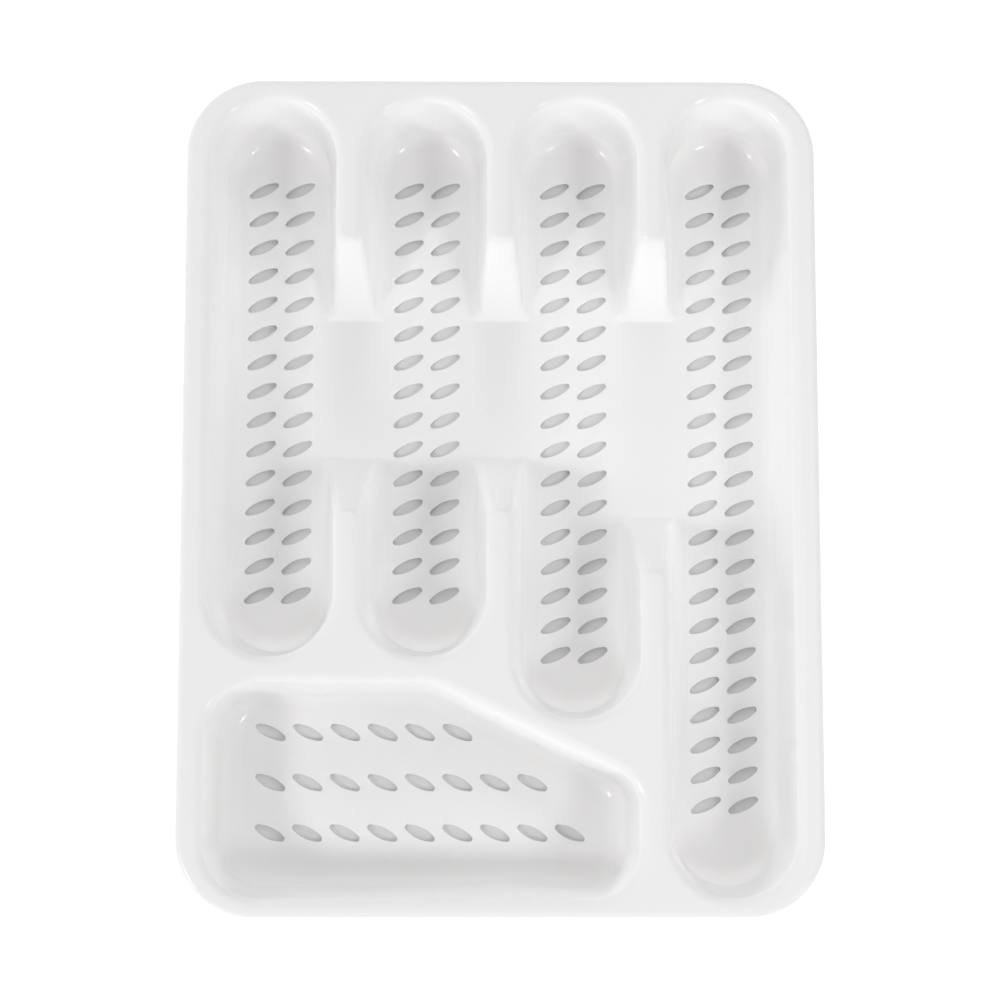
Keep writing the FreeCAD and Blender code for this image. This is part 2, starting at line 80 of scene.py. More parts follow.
class Tree:
    """Node tree of a material or of a Geometry Nodes modifier, written from left to right."""

    def __init__(self, tree):
        self.nodes = tree.nodes
        self.links = tree.links
        self.nodes.clear()

    def node(self, kind, settings, sockets, out=0):
        """Adds a node, with its settings first, and returns one of its outputs."""
        made = self.nodes.new(kind)
        for name, value in settings.items():
            setattr(made, name, value)
        for name, value in sockets.items():
            for each in value if isinstance(value, list) else [value]:
                if isinstance(each, Link):
                    self.links.new(each.socket, made.inputs[name])
                else:
                    made.inputs[name].default_value = each
        return Link(self, made.outputs[out]) if made.outputs else None

    def math(self, operation, first, second):
        return self.node("ShaderNodeMath", {"operation": operation}, {0: first, 1: second})


PLASTIC_WHITE = (0.965, 0.958, 0.956, 1)
PLASTIC_CLOUD = (0.955, 0.948, 0.945, 1)
CLOUDS_PER_METRE = 14
CLOUD_DETAIL = 3
RIPPLES_PER_METRE = 70
PEEL_PER_METRE = 1500
RELIEF_DETAIL = 1
RELIEF_SCALE = 1.0
NOISE_MEAN = 0.5
RIPPLE_DEPTH = 0.00006
PEEL_DEPTH = 0.000002
GLOSS_ROUGHNESS = 0.10
GLOSS_SPREAD = 0.05
PLASTIC_IOR = 1.49
GLOSS_LEVEL = 0.34
BLOOM = 0.9
# Painted shade: a darker white painted on the deck and the top of the rim. It starts at the first height
# below and is full at the second, so that these render closer in tone to the walls.
DECK_PAINTED_SHADE = (0.913, 0.900, 0.904, 1)
DECK_SHADE_FROM = 0.0365
DECK_SHADE_FULL = 0.0400


def white_plastic():
    """Glossy white that clouds a little. The deck and the top of the rim are painted a darker white as
    painted shade, so that they render closer in tone to the walls below.
    """
    material = bpy.data.materials.new("white_plastic")
    material.use_nodes = True
    shade = Tree(material.node_tree)
    place = shade.node("ShaderNodeTexCoord", {}, {}, "Object")

    def noise(scale, detail):
        sockets = {"Vector": place, "Scale": scale, "Detail": detail}
        return shade.node("ShaderNodeTexNoise", {}, sockets, "Fac")

    clouds = noise(CLOUDS_PER_METRE, CLOUD_DETAIL)
    peel = noise(PEEL_PER_METRE, RELIEF_DETAIL)
    relief = noise(RIPPLES_PER_METRE, RELIEF_DETAIL) * RIPPLE_DEPTH + peel * PEEL_DEPTH
    height = shade.node("ShaderNodeSeparateXYZ", {}, {"Vector": place}, "Z")
    # Painted shade mask: zero below the deck, full on the deck and the top of the rim
    deck_shade = shade.node("ShaderNodeMapRange", {"interpolation_type": "SMOOTHSTEP"},
                      {"Value": height, "From Min": DECK_SHADE_FROM, "From Max": DECK_SHADE_FULL})

    def blend(factor, first, second):
        sockets = {"Factor": factor, "A": first, "B": second}
        return shade.node("ShaderNodeMix", {"data_type": "RGBA"}, sockets, "Result")

    colour = blend(deck_shade, blend(clouds, PLASTIC_WHITE, PLASTIC_CLOUD), DECK_PAINTED_SHADE)
    bump = shade.node("ShaderNodeBump", {}, {"Height": relief, "Distance": RELIEF_SCALE})
    cloud_gloss = GLOSS_SPREAD * (clouds - NOISE_MEAN)
    peel_gloss = GLOSS_SPREAD * (peel - NOISE_MEAN)
    surface = shade.node("ShaderNodeBsdfPrincipled", {}, {
        "Base Color": colour,
        "Roughness": GLOSS_ROUGHNESS + cloud_gloss + peel_gloss,
        "IOR": PLASTIC_IOR,
        "Specular IOR Level": GLOSS_LEVEL,
        "Sheen Weight": BLOOM,
        "Normal": bump,
    })
    shade.node("ShaderNodeOutputMaterial", {}, {"Surface": surface})
    return material


PLASTIC = white_plastic()


# The rim: the edge of the deck, rolled over and turned down all round so that the sheet is stiff and
# kind to the hand. Its section is swept round a rectangle with large round corners.

SHARP_ANGLE = math.radians(40)
# Level strip along the edge of a swept wall, so that its shading runs on into the plate beside it
BAND = 0.0004
RIM_CORNER = 0.030
RIM_HOLLOW = 0.0005
RIM_EDGE = 0.0005
CORNER_STEPS = 28
BEND_STEPS = 8
EDGE_STEPS = 3


def belt(arcs):
    """Closed outline, anticlockwise from above, of arcs and the straight lines that touch them.
    An arc is its centre, radius and steps. One with a negative radius bends the other way."""
    normals = []
    for (x, y, radius, _), (next_x, next_y, next_radius, _) in zip(arcs, arcs[1:] + arcs[:1]):
        heading = math.atan2(next_y - y, next_x - x)
        normals.append(heading - math.acos((radius - next_radius) / math.hypot(next_x - x, next_y - y)))
    outline = []
    for (x, y, radius, steps), start, end in zip(arcs, normals[-1:] + normals[:-1], normals):
        turn = (end - start) % math.tau if radius > 0 else -((start - end) % math.tau)
        for step in range(steps + 1):
            angle = start + turn * step / steps
            outline.append((x + radius * math.cos(angle), y + radius * math.sin(angle)))
    return outline


def bend(first, last, steps):
    """Angles of a bend, given in degrees, from the first to the last."""
    return [math.radians(first + (last - first) * step / steps) for step in range(steps + 1)]


def loft(name, rows, ring=True):
    """Skin over outlines with as many points each. Rows are an outline and its height, and a ring of
    rows closes on itself."""
    count = len(rows[0][0])
    points = [(x, y, height) for outline, height in rows for x, y in outline]
    faces = []
    for row in range(len(rows) if ring else len(rows) - 1):
        this, following = row * count, (row + 1) % len(rows) * count
        for point in range(count):
            beside = (point + 1) % count
            faces.append((this + point, this + beside, following + beside, following + point))
    mesh = bpy.data.meshes.new(name)
    mesh.from_pydata(points, [], faces)
    return mesh


def add_piece(name, mesh, *nodes):
    """Moulded piece that stands for CAD nodes, with its faces outwards and its bends smooth."""
    skin = bmesh.new()
    skin.from_mesh(mesh)
    bmesh.ops.recalc_face_normals(skin, faces=skin.faces)
    skin.to_mesh(mesh)
    skin.free()
    mesh.shade_smooth()
    mesh.set_sharp_from_angle(angle=SHARP_ANGLE)
    mesh.materials.clear()
    mesh.materials.append(PLASTIC)
    piece = bpy.data.objects.new(name, mesh)
    bpy.context.scene.collection.objects.link(piece)
    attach(piece, "root")
    if nodes:
        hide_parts(*nodes)


deck_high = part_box("rim_deck")[1]
rim_low, rim_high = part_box("rim_skirt")
floor_low, floor_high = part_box("fork_tub_floor")
TOP = rim_high.z
WALL = floor_high.z - floor_low.z
LIP = rim_high.x - deck_high.x


def rim_outline(outset):
    """The tray's outline at an outset from the line where the deck starts to roll over."""
    x, y = rim_high.x - RIM_CORNER, rim_high.y - RIM_CORNER
    radius = RIM_CORNER - LIP + outset
    return belt([(x, -y, radius, CORNER_STEPS), (x, y, radius, CORNER_STEPS),
                 (-x, y, radius, CORNER_STEPS), (-x, -y, radius, CORNER_STEPS)])


rim_section = [(-BAND, TOP)]
for angle in bend(90, 0, BEND_STEPS):
    rim_section.append((LIP * math.cos(angle), TOP - LIP + LIP * math.sin(angle)))
for centre, first in ((LIP - RIM_EDGE, 0), (RIM_HOLLOW + RIM_EDGE, -90)):
    for angle in bend(first, first - 90, EDGE_STEPS):
        rim_section.append((centre + RIM_EDGE * math.cos(angle),
                            rim_low.z + RIM_EDGE + RIM_EDGE * math.sin(angle)))
for angle in bend(0, 90, EDGE_STEPS):
    rim_section.append((RIM_HOLLOW * math.cos(angle), TOP - LIP + RIM_HOLLOW * math.sin(angle)))
rim_section.append((-BAND, TOP - WALL))
add_piece("rolled_rim", loft("rolled_rim", [(rim_outline(outset), height) for outset, height in rim_section]),
          "rim_skirt")


# The long tubs: four drafted walls with a rolled lip at the deck and a wide fillet at the floor. They run
# into each other over the finger channels, whose ramps end the dividers with an eased edge on each side.

DRAFT = 6.5
FLOOR_FILLET = 0.006
END_STEPS = 48
EASE_STEPS = 6
FILLET_STEPS = 12
LIP_ROLL = 0.0040
RIDGE_EASE = 0.0030
UNDER_EASE = 0.0010
RIDGE_SHARE = 0.45
END_FILLET = 0.008
TEA_FILLET = 0.010
WALL_STEPS = 5
CREST_EASE = 0.0006
FOOT_EASE = 0.0008

TUB_WALLS = {
    "fork": ["fork_tub_wall"],
    "spoon": ["spoon_tub_rear_wall", "spoon_tub_front_wall"],
    "knife": ["knife_tub_rear_wall", "knife_tub_front_wall"],
    "utensil": ["utensil_tub_wall"],
}
CHANNELS = ["left", "middle", "right"]
long_walls = [node for nodes in TUB_WALLS.values() for node in nodes]
ramps = [f"{side}_finger_channel_{end}_ramp" for side in CHANNELS for end in ("rear", "front")]
lip_half = (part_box("fork_tub_wall")[1].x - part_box("fork_tub_wall")[0].x) / 2
floor_half = (floor_high.x - floor_low.x) / 2
FLOOR_INSET = lip_half - floor_half
wall_tilt = math.radians(DRAFT)
lip_reach = (LIP_ROLL - LIP) * (1 - math.sin(wall_tilt)) / math.cos(wall_tilt)
DECK_ROW = -lip_reach - BAND
FLOOR_ROW = FLOOR_INSET + BAND


class Tub:
    """Centre line and end arcs of a long tub, from the box of its walls."""

    def __init__(self, nodes):
        corners = [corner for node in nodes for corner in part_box(node)]
        self.x = (corners[0].x + corners[1].x) / 2
        self.front_lip = min(corner.y for corner in corners)
        self.rear_lip = max(corner.y for corner in corners)
        self.front = self.front_lip + lip_half
        self.rear = self.rear_lip - lip_half


class Ramp:
    """Sloping end of a divider. Its foot and crest come from the box of its node."""

    def __init__(self, node, channel, away):
        low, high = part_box(node)
        channel_low, channel_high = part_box(channel)
        self.away = away
        near, far = (low.y, high.y) if away > 0 else (high.y, low.y)
        self.shift = abs((channel_high.y if away > 0 else channel_low.y) - near)
        self.foot = near
        self.run = abs(far - near) - self.shift
        self.slope = math.atan2(TOP - WALL, self.run)

    def upper(self, height, inset):
        """Place along Y of the ramp's face, eased at the crest and at the foot."""
        half_turn = math.tan(self.slope / 2)
        below_crest, above_foot = TOP - height, height - WALL
        if below_crest < CREST_EASE * (1 - math.cos(self.slope)):
            swing = math.acos(1 - below_crest / CREST_EASE)
            out = self.run + CREST_EASE * (half_turn - math.sin(swing))
        elif above_foot < FOOT_EASE * (1 - math.cos(self.slope)):
            swing = math.acos(1 - above_foot / FOOT_EASE)
            out = FOOT_EASE * (math.sin(swing) - half_turn)
        else:
            out = above_foot / math.tan(self.slope)
        return self.foot + self.away * (out + self.flat(inset))

    def under(self, height, inset):
        """Place along Y of the ramp's outer face, below the sheet."""
        out = self.shift + height / math.tan(self.slope)
        return self.foot + self.away * (out + self.flat(inset))

    def flat(self, inset):
        """How far a row lies out on the level deck behind the crest, or, below zero, on the floor."""
        return max(-lip_reach - inset, 0) - max(inset - FLOOR_INSET, 0)


tubs = {label: Tub(nodes) for label, nodes in TUB_WALLS.items()}
row_of_tubs = list(tubs.values())
channel_ramps = []
for side in CHANNELS:
    channel_floor = f"{side}_finger_channel_floor"
    channel_ramps.append((Ramp(f"{side}_finger_channel_rear_ramp", channel_floor, 1),
                          Ramp(f"{side}_finger_channel_front_ramp", channel_floor, -1)))


def fillet_pull(row, fillet):
    """How much further in a wider fillet lies than the common one, at a row of the section."""
    inset, height, inside = row
    rise = max(height - WALL, 0)
    climb = 1 - math.sin(wall_tilt)

    def curve(radius):
        if rise > radius * climb:
            above = rise - FLOOR_FILLET * climb
            return FLOOR_INSET - FLOOR_FILLET * math.cos(wall_tilt) - above * math.tan(wall_tilt)
        centre = FLOOR_INSET + (radius - FLOOR_FILLET) * climb / math.cos(wall_tilt)
        return centre - math.sqrt(radius ** 2 - (radius - rise) ** 2)

    return curve(fillet) - curve(FLOOR_FILLET) if inside or inset > FLOOR_INSET else 0


def long_outline(inset, height, inside):
    """Outline of the four joined tubs at an inset from their lips, on the shell's inner or outer face."""
    half = lip_half - inset
    pull = fillet_pull((inset, height, inside), END_FILLET)
    front_arcs, rear_arcs = [], []
    for number, tub in enumerate(row_of_tubs):
        front_arcs.append((tub.x, tub.front + pull, half, END_STEPS))
        rear_arcs.append((tub.x, tub.rear - pull, half, END_STEPS))
        if number < len(channel_ramps):
            next_tub = row_of_tubs[number + 1]
            divider = next_tub.x - tub.x - 2 * half
            ease = min(RIDGE_EASE if inside else UNDER_EASE, RIDGE_SHARE * divider)
            rear, front = [ramp.upper(height, inset) if inside else ramp.under(height, inset)
                           for ramp in channel_ramps[number]]
            for x in (tub.x + half + ease, next_tub.x - half - ease):
                front_arcs.append((x, front - ease, -ease, EASE_STEPS))
                rear_arcs.append((x, rear + ease, -ease, EASE_STEPS))
    return belt(front_arcs + rear_arcs[::-1])


def tub_section():
    """Section of a tub's shell: inset from the lip, height, and whether that is on the inner face. It runs
    from the deck down the inner face to the floor, and back up the outer face."""
    rows = [(DECK_ROW, TOP, True)]
    lip_centre = TOP - LIP_ROLL
    for angle in bend(90, DRAFT, BEND_STEPS):
        rows.append((LIP_ROLL * math.cos(angle) - lip_reach, lip_centre + LIP_ROLL * math.sin(angle), True))
    for step in range(WALL_STEPS):
        radius = TEA_FILLET + (FLOOR_FILLET - TEA_FILLET) * step / WALL_STEPS
        above = (radius - FLOOR_FILLET) * (1 - math.sin(wall_tilt))
        rows.append((FLOOR_INSET - FLOOR_FILLET * math.cos(wall_tilt) - above * math.tan(wall_tilt),
                     WALL + FLOOR_FILLET * (1 - math.sin(wall_tilt)) + above, True))
    for angle in bend(DRAFT, 90, FILLET_STEPS):
        rows.append((FLOOR_INSET - FLOOR_FILLET * math.cos(angle),
                     WALL + FLOOR_FILLET - FLOOR_FILLET * math.sin(angle), True))
    rows.append((FLOOR_ROW, WALL, True))
    rows.append((FLOOR_ROW, 0, False))
    outer_fillet = FLOOR_FILLET + WALL
    for angle in bend(90, DRAFT, FILLET_STEPS):
        rows.append((FLOOR_INSET - outer_fillet * math.cos(angle),
                     outer_fillet - outer_fillet * math.sin(angle), False))
    under_roll = LIP_ROLL - WALL
    for angle in bend(DRAFT, 90, EDGE_STEPS):
        rows.append((under_roll * math.cos(angle) - lip_reach,
                     lip_centre + under_roll * math.sin(angle), False))
    rows.append((DECK_ROW, TOP - WALL, False))
    return rows


long_rows = [(long_outline(inset, height, inside), height) for inset, height, inside in tub_section()]
add_piece("long_tub_walls", loft("long_tub_walls", long_rows), *long_walls, *ramps)


# The teaspoon tub: the same wall swept round the wide tub in front, which gives way to the end of the
# knife tub with a slanted edge. Its corners have radii of their own.

TEA_CORNER = 0.024
TEA_BEND = 0.030
TEA_POINT = 0.020
TEA_FRONT_CORNER = 0.022
TEA_SIDE_DEPTH = 0.0492
SLANT = math.radians(25)

tea_low, tea_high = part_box("teaspoon_tub_wall")
slant_line = tea_high.x * math.sin(SLANT) + (tea_low.y + TEA_SIDE_DEPTH) * math.cos(SLANT)
tea_bend_y = tea_high.y - TEA_BEND
tea_bend_x = (slant_line - TEA_BEND - tea_bend_y * math.cos(SLANT)) / math.sin(SLANT)


def teaspoon_outline(inset, pull=0):
    """Outline of the tub at an inset from its lip, with its left, front and right walls pulled in further."""
    point_x = tea_high.x - TEA_POINT - pull
    point_y = (slant_line - TEA_POINT - point_x * math.sin(SLANT)) / math.cos(SLANT)
    corners = [
        (tea_low.x + TEA_CORNER + pull, tea_low.y + TEA_CORNER + pull, TEA_CORNER),
        (tea_high.x - TEA_FRONT_CORNER - pull, tea_low.y + TEA_FRONT_CORNER + pull, TEA_FRONT_CORNER),
        (point_x, point_y, TEA_POINT),
        (tea_bend_x, tea_bend_y, TEA_BEND),
        (tea_low.x + TEA_CORNER + pull, tea_high.y - TEA_CORNER, TEA_CORNER),
    ]
    return belt([(x, y, radius - inset, CORNER_STEPS) for x, y, radius in corners])


teaspoon_rows = [(teaspoon_outline(row[0], fillet_pull(row, TEA_FILLET)), row[1]) for row in tub_section()]
add_piece("teaspoon_wall_skin", loft("teaspoon_wall_skin", teaspoon_rows), "teaspoon_tub_wall")


# The flat plates: the deck between the tubs, and the floors with their drain holes. A drain hole is a
# slanted oval with blunt ends, and its edges are eased on both faces. One rule lays them all out.

DRAIN_GAP = 0.003
DRAIN_EDGE = 0.0016
DRAIN_WIDTH = 0.0046
DRAIN_TIP = 0.0012
DRAIN_TILT = math.radians(25)
DRAIN_EASE = 0.00025
SLANT_CLEAR = 0.0006
TIP_STEPS = 6
FLANK_STEPS = 8
TUB_COLUMNS = 2
ROW_SPACING = 0.012
ROW_MARGIN = 0.030
ROW_TAIL = 0.028
WELD = 0.000002

drain_span = floor_half - DRAIN_EDGE - DRAIN_GAP / 2
drain_reach = (drain_span / 2 - DRAIN_TIP) / math.cos(DRAIN_TILT)
drain_side = (drain_reach ** 2 + DRAIN_WIDTH ** 2 / 4 - DRAIN_TIP ** 2) / (DRAIN_WIDTH - 2 * DRAIN_TIP)
drain_bow = drain_side - DRAIN_WIDTH / 2


def drain_outline(grow):
    """Oval along X of two blunt ends and two bowed sides, grown all round."""
    swing = math.degrees(math.atan2(drain_bow, drain_reach))
    outline = []
    for half_turn, way in ((0, 1), (180, -1)):
        for angle in bend(half_turn - swing, half_turn + swing, TIP_STEPS)[:-1]:
            tip = DRAIN_TIP + grow
            outline.append((way * drain_reach + tip * math.cos(angle), tip * math.sin(angle)))
        for angle in bend(half_turn + swing, half_turn + 180 - swing, FLANK_STEPS)[:-1]:
            side = drain_side + grow
            outline.append((side * math.cos(angle), side * math.sin(angle) - way * drain_bow))
    return outline


def hidden_mesh(name, mesh):
    """Object that a plate is made from, and that is deleted once the plates are made."""
    source = bpy.data.objects.new(name, mesh)
    bpy.context.scene.collection.objects.link(source)
    return source


def loops_mesh(name, outlines):
    """Closed loops of edges at the height of the table."""
    points, edges = [], []
    for outline in outlines:
        first = len(points)
        points += [(x, y, 0) for x, y in outline]
        edges += [(first + step, first + (step + 1) % len(outline)) for step in range(len(outline))]
    mesh = bpy.data.meshes.new(name)
    mesh.from_pydata(points, edges, [])
    return mesh


collar_rows = []
for centre, first in ((WALL - DRAIN_EASE, 90), (DRAIN_EASE, 0)):
    for angle in bend(first, first - 90, EDGE_STEPS):
        collar_rows.append((drain_outline(DRAIN_EASE - DRAIN_EASE * math.cos(angle)),
                            centre + DRAIN_EASE * math.sin(angle)))
drain_collar = hidden_mesh("drain_collar", loft("drain_collar", collar_rows, ring=False))
drain_rim = hidden_mesh("drain_rim", loops_mesh("drain_rim", [drain_outline(DRAIN_EASE)]))

PLATE_INPUTS = {
    "Geometry": "NodeSocketGeometry",
    "Top": "NodeSocketFloat",
    "Under": "NodeSocketFloat",
    "Drain Rim": "NodeSocketObject",
    "Drain Collar": "NodeSocketObject",
    "Columns": "NodeSocketInt",
    "Rows": "NodeSocketInt",
    "Column Spacing": "NodeSocketFloat",
    "Row Spacing": "NodeSocketFloat",
    "Pattern Centre": "NodeSocketVector",
    "Tilt": "NodeSocketFloat",
    "Edge Clearance": "NodeSocketFloat",
    "Material": "NodeSocketMaterial",
}


def plate_tree():
    """Fills outlines to a plate of even thickness, with a grid of drain holes where the plate has room."""
    group = bpy.data.node_groups.new("moulded_plate", "GeometryNodeTree")
    for name, kind in PLATE_INPUTS.items():
        group.interface.new_socket(name=name, in_out="INPUT", socket_type=kind)
    group.interface.new_socket(name="Geometry", in_out="OUTPUT", socket_type="NodeSocketGeometry")
    plate = Tree(group)
    given = {name: plate.node("NodeGroupInput", {}, {}, name) for name in PLATE_INPUTS}

    def lifted(geometry, height):
        offset = plate.node("ShaderNodeCombineXYZ", {}, {"Z": height})
        return plate.node("GeometryNodeTransform", {}, {"Geometry": geometry, "Translation": offset})

    outline = plate.node("GeometryNodeMeshToCurve", {}, {"Mesh": given["Geometry"]})
    area = plate.node("GeometryNodeFillCurve", {}, {"Curve": outline})
    grid = plate.node("GeometryNodeMeshGrid", {}, {
        "Size X": (given["Columns"] - 1) * given["Column Spacing"],
        "Size Y": (given["Rows"] - 1) * given["Row Spacing"],
        "Vertices X": given["Columns"],
        "Vertices Y": given["Rows"],
    })
    places = plate.node("GeometryNodeSetPosition", {}, {"Geometry": grid, "Offset": given["Pattern Centre"]})
    here = plate.node("GeometryNodeInputPosition", {}, {})
    above = plate.node("ShaderNodeVectorMath", {"operation": "ADD"}, {0: here, 1: (0, 0, TOP)})
    on_plate = plate.node("GeometryNodeRaycast", {}, {
        "Target Geometry": area, "Source Position": above, "Ray Direction": (0, 0, -1),
    }, "Is Hit")
    to_edge = plate.node("GeometryNodeProximity", {"target_element": "EDGES"}, {
        "Geometry": given["Geometry"], "Sample Position": here,
    }, "Distance")
    crowded = plate.node("FunctionNodeBooleanMath", {"operation": "NAND"}, {
        0: on_plate, 1: to_edge > given["Edge Clearance"],
    })
    drains = plate.node("GeometryNodeDeleteGeometry", {}, {"Geometry": places, "Selection": crowded})
    turn = plate.node("ShaderNodeCombineXYZ", {}, {"Z": given["Tilt"]})

    def at_drains(name):
        shape = plate.node("GeometryNodeObjectInfo", {}, {"Object": given[name]}, "Geometry")
        copies = plate.node("GeometryNodeInstanceOnPoints", {}, {
            "Points": drains, "Instance": shape, "Rotation": turn,
        })
        return plate.node("GeometryNodeRealizeInstances", {}, {"Geometry": copies})

    drain_curves = plate.node("GeometryNodeMeshToCurve", {}, {"Mesh": at_drains("Drain Rim")})
    curves = plate.node("GeometryNodeJoinGeometry", {}, {"Geometry": [outline, drain_curves]})
    face = plate.node("GeometryNodeFillCurve", {}, {"Curve": curves})
    drop = plate.node("ShaderNodeCombineXYZ", {}, {"Z": given["Under"] - given["Top"]})
    side = plate.node("GeometryNodeExtrudeMesh", {"mode": "EDGES"}, {
        "Mesh": lifted(given["Geometry"], given["Top"]), "Offset": drop, "Offset Scale": 1.0,
    })
    under = plate.node("GeometryNodeFlipFaces", {}, {"Mesh": lifted(face, given["Under"])})
    whole = plate.node("GeometryNodeJoinGeometry", {}, {
        "Geometry": [lifted(face, given["Top"]), under, side, at_drains("Drain Collar")],
    })
    welded = plate.node("GeometryNodeMergeByDistance", {}, {"Geometry": whole, "Distance": WELD})
    solid = plate.node("GeometryNodeRealizeInstances", {}, {"Geometry": welded})
    painted = plate.node("GeometryNodeSetMaterial", {}, {"Geometry": solid, "Material": given["Material"]})
    plate.node("NodeGroupOutput", {}, {"Geometry": painted})
    return group


PLATE_TREE = plate_tree()


def add_plate(name, outlines, top, nodes, **sizes):
    """Plate under a height, with any drain holes that the sizes ask for, as a plain mesh."""
    source = hidden_mesh(name + "_outline", loops_mesh(name, outlines))
    modifier = source.modifiers.new("plate", "NODES")
    modifier.node_group = PLATE_TREE
    values = {"Top": top, "Under": top - WALL, "Drain Rim": drain_rim, "Drain Collar": drain_collar,
              "Columns": 0, "Rows": 0, "Material": PLASTIC}
    values.update({key.replace("_", " ").title(): value for key, value in sizes.items()})
    for socket in PLATE_TREE.interface.items_tree:
        if socket.in_out == "INPUT" and socket.name in values:
            modifier[socket.identifier] = values[socket.name]
    evaluated = source.evaluated_get(bpy.context.evaluated_depsgraph_get())
    mesh = bpy.data.meshes.new_from_object(evaluated)
    mesh.name = name
    bpy.data.objects.remove(source)
    add_piece(name, mesh, *nodes)


add_plate("deck_plate", [rim_outline(-BAND), long_outline(DECK_ROW, TOP, True), teaspoon_outline(DECK_ROW)],
          TOP, ["rim_deck"])

DRAIN_CLEARANCE = DRAIN_WIDTH / 2 + SLANT_CLEAR - BAND
FLOOR_EDGE = (FLOOR_ROW, WALL, True)
floor_arc = floor_half - BAND
floor_pull = fillet_pull(FLOOR_EDGE, END_FILLET)
for label, tub in tubs.items():
    drain_rows = math.floor((tub.rear_lip - tub.front_lip - ROW_MARGIN - ROW_TAIL) / ROW_SPACING) + 1
    first_row = tub.rear_lip - ROW_MARGIN
    middle_row = first_row - (drain_rows - 1) * ROW_SPACING / 2
    add_plate(f"{label}_floor_plate",
              [belt([(tub.x, tub.front + floor_pull, floor_arc, END_STEPS),
                     (tub.x, tub.rear - floor_pull, floor_arc, END_STEPS)])],
              WALL, [f"{label}_tub_floor"],
              columns=TUB_COLUMNS, column_spacing=DRAIN_GAP + drain_span,
              rows=drain_rows, row_spacing=ROW_SPACING,
              pattern_centre=(tub.x, middle_row, 0), tilt=DRAIN_TILT, edge_clearance=DRAIN_CLEARANCE)

TEA_COLUMNS = 10
TEA_ROWS = 3
TEA_HOLE_SPACING = 0.015
TEA_ROW_SPACING = 0.020
TEA_FIRST_COLUMN = 0.025
TEA_FIRST_ROW = 0.0265
add_plate("teaspoon_floor_plate", [teaspoon_outline(FLOOR_ROW, fillet_pull(FLOOR_EDGE, TEA_FILLET))],
          WALL, ["teaspoon_tub_floor"],
          columns=TEA_COLUMNS, column_spacing=TEA_HOLE_SPACING,
          rows=TEA_ROWS, row_spacing=TEA_ROW_SPACING,
          pattern_centre=(tea_low.x + TEA_FIRST_COLUMN + (TEA_COLUMNS - 1) * TEA_HOLE_SPACING / 2,
                          tea_low.y + TEA_FIRST_ROW + (TEA_ROWS - 1) * TEA_ROW_SPACING / 2, 0),
          tilt=-DRAIN_TILT, edge_clearance=DRAIN_CLEARANCE)


# The finger channels: plain floors that lie flush between two tub floors and reach under both ramps.
# They are part of the moulding, and let fingers in under the cutlery.

def channel_outline(left, right, rear, front, ease):
    """Outline between two tub floors and two ramps, drawn round the eased corners of the ramps."""
    outline = []
    for x, y, first in ((right - ease, rear + ease, 360), (left + ease, rear + ease, 270),
                        (left + ease, front - ease, 180), (right - ease, front - ease, 90)):
        for angle in bend(first, first - 90, EASE_STEPS):
            outline.append((x + ease * math.cos(angle), y + ease * math.sin(angle)))
    return outline


def capped_loft(name, rows):
    """Skin over outlines, closed by a flat face at both ends."""
    mesh = loft(name, rows, ring=False)
    skin = bmesh.new()
    skin.from_mesh(mesh)
    bmesh.ops.holes_fill(skin, edges=skin.edges)
    skin.to_mesh(mesh)
    skin.free()
    return mesh


for side, both_ramps, left_tub, right_tub in zip(CHANNELS, channel_ramps, row_of_tubs, row_of_tubs[1:]):
    left, right = left_tub.x + floor_arc, right_tub.x - floor_arc
    upper = [ramp.upper(WALL, FLOOR_ROW) for ramp in both_ramps]
    under = [ramp.under(0, FLOOR_ROW) for ramp in both_ramps]
    channel_rows = [(channel_outline(left, right, *upper, RIDGE_EASE), WALL),
                    (channel_outline(left, right, *under, UNDER_EASE), 0)]
    channel_plate = f"{side}_channel_plate"
    add_piece(channel_plate, capped_loft(channel_plate, channel_rows), f"{side}_finger_channel_floor")

for source in (drain_collar, drain_rim):
    bpy.data.objects.remove(source)


# The gate mark: the blunt stub left on the middle channel's floor where the hot runner filled the mould.
# It is part of the moulding, broken off short and smoothed by the ejection.

GATE_PLACE = (-0.0045, 0.0380)
GATE_RADIUS = 0.0008
GATE_FOOT = 0.0003
GATE_HEIGHT = 0.0004
GATE_TAPER = 0.8
GATE_STEPS = 20
GATE_SINK = 0.0005

gate_x, gate_y = GATE_PLACE
gate_profile = [(GATE_RADIUS + GATE_FOOT, -GATE_SINK), (GATE_RADIUS + GATE_FOOT, 0),
                (GATE_RADIUS, GATE_FOOT / 2), (GATE_RADIUS * GATE_TAPER, GATE_HEIGHT)]
gate_rows = []
for radius, rise in gate_profile:
    ring = [(gate_x + radius * math.cos(angle), gate_y + radius * math.sin(angle))
            for angle in bend(0, 360, GATE_STEPS)[:-1]]
    gate_rows.append((ring, WALL + rise))
add_piece("gate_mark", capped_loft("gate_mark", gate_rows))


# The stage: a plain white table under soft studio light. The tray shades it, and where it lies bare
# round the tray a little light of its own, for the eye alone, lifts it to white.

TABLE_SIZE = 6.0
TABLE_DROP = 0.0002
TABLE_WHITE = (0.82, 0.82, 0.82, 1)
TABLE_LIFT = 0.50
TABLE_CORNER = 0.045
SHADE_FROM = -0.018
SHADE_TO = 0.002


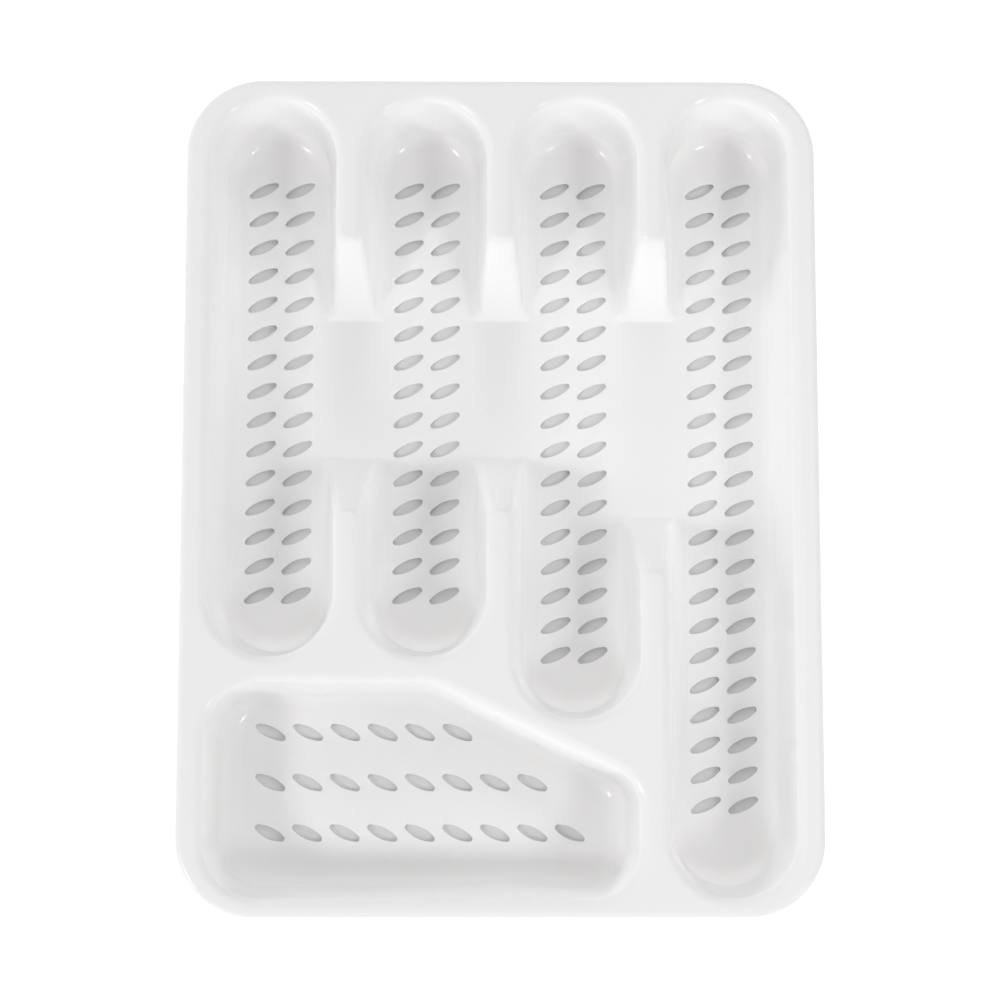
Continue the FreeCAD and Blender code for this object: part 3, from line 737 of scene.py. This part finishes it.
def table_paint():
    """Matt white, with the lift masked by the distance outside a rounded rectangle under the tray."""
    material = bpy.data.materials.new("table_paint")
    material.use_nodes = True
    paint = Tree(material.node_tree)
    place = paint.node("ShaderNodeTexCoord", {}, {}, "Object")
    across = paint.node("ShaderNodeSeparateXYZ", {}, {"Vector": place}, "X")
    along = paint.node("ShaderNodeSeparateXYZ", {}, {"Vector": place}, "Y")
    beyond_x = paint.math("MAXIMUM", abs(across) - (rim_high.x - TABLE_CORNER), 0)
    beyond_y = paint.math("MAXIMUM", abs(along) - (rim_high.y - TABLE_CORNER), 0)
    outside = paint.math("SQRT", beyond_x * beyond_x + beyond_y * beyond_y, 0) - TABLE_CORNER
    bare = paint.node("ShaderNodeMapRange", {"interpolation_type": "SMOOTHSTEP"},
                      {"Value": outside, "From Min": SHADE_FROM, "From Max": SHADE_TO})
    seen = paint.node("ShaderNodeLightPath", {}, {}, "Is Camera Ray")
    mirrored = paint.node("ShaderNodeLightPath", {}, {}, "Is Glossy Ray")
    lift = paint.node("ShaderNodeEmission", {}, {"Strength": bare * (seen + mirrored) * TABLE_LIFT})
    matt = paint.node("ShaderNodeBsdfDiffuse", {}, {"Color": TABLE_WHITE})
    both = paint.node("ShaderNodeAddShader", {}, {0: matt, 1: lift})
    paint.node("ShaderNodeOutputMaterial", {}, {"Surface": both})
    return material


half_table = TABLE_SIZE / 2
table_corners = [(x * half_table, y * half_table, -TABLE_DROP)
                 for x, y in ((-1, -1), (1, -1), (1, 1), (-1, 1))]
table_mesh = bpy.data.meshes.new("table")
table_mesh.from_pydata(table_corners, [], [(0, 1, 2, 3)])
table_mesh.materials.append(table_paint())
table = bpy.data.objects.new("table", table_mesh)
bpy.context.scene.collection.objects.link(table)

AIR_WHITE = (1, 1, 1, 1)
AIR_STRENGTH = 0.272
world = bpy.data.worlds.new("studio_air")
world.use_nodes = True
air = world.node_tree.nodes["Background"].inputs
air["Color"].default_value = AIR_WHITE
air["Strength"].default_value = AIR_STRENGTH
bpy.context.scene.world = world

# Azimuth and elevation in degrees, distance and size in metres, power in watts
SOFTBOXES = {
    "left_softbox": (180, 12, 1.6, 0.50, 6.80),
    "front_softbox": (-90, 17, 1.6, 0.60, 5.50),
    "front_right_softbox": (-45, 20, 1.6, 0.60, 2.60),
    "rear_softbox": (90, 20, 1.6, 0.60, 5.20),
    "rear_raised_softbox": (90, 45, 1.6, 0.60, 3.30),
    "left_overhead": (180, 72, 1.75, 0.60, 0.80),
    "rear_overhead": (90, 72, 1.75, 0.60, 0.80),
    "near_right": (0, 40, 0.70, 0.25, 0.60),
}
KEYS = {
    "right_key": (-43, 45, 1.6, 0.28, 3.70),
    "left_key": (-148, 42, 1.6, 0.28, 5.10),
}


def add_lamp(name, azimuth, elevation, distance, size, watts, mirrored):
    """Square soft box that looks at the tray from an azimuth and an elevation in degrees. The plastic
    mirrors it as a glint, or only takes its light, as with light through a polarizing sheet."""
    turn, rise = math.radians(azimuth), math.radians(elevation)
    way = Vector((math.cos(turn) * math.cos(rise), math.sin(turn) * math.cos(rise), math.sin(rise)))
    lamp = bpy.data.lights.new(name, "AREA")
    lamp.shape = "SQUARE"
    lamp.size = size
    lamp.energy = watts
    holder = bpy.data.objects.new(name, lamp)
    holder.location = Vector((0, 0, TOP / 2)) + distance * way
    holder.rotation_euler = way.to_track_quat("Z", "Y").to_euler()
    holder.visible_glossy = mirrored
    bpy.context.scene.collection.objects.link(holder)


for lamp_name, values in SOFTBOXES.items():
    add_lamp(lamp_name, *values, mirrored=False)
for lamp_name, values in KEYS.items():
    add_lamp(lamp_name, *values, mirrored=True)

CAMERA_LENS = 82.88
CAMERA_SENSOR = 36
CAMERA_PLACE = (-0.008525, -0.118045, 0.931267)
CAMERA_TURN = (7.2801, -0.5297, 0.0254)
camera = bpy.data.cameras.new("camera")
camera.lens = CAMERA_LENS
camera.sensor_width = CAMERA_SENSOR
camera_holder = bpy.data.objects.new("camera", camera)
camera_holder.location = CAMERA_PLACE
camera_holder.rotation_euler = [math.radians(turn) for turn in CAMERA_TURN]
bpy.context.scene.collection.objects.link(camera_holder)
bpy.context.scene.camera = camera_holder
bpy.context.scene.view_settings.view_transform = "Standard"
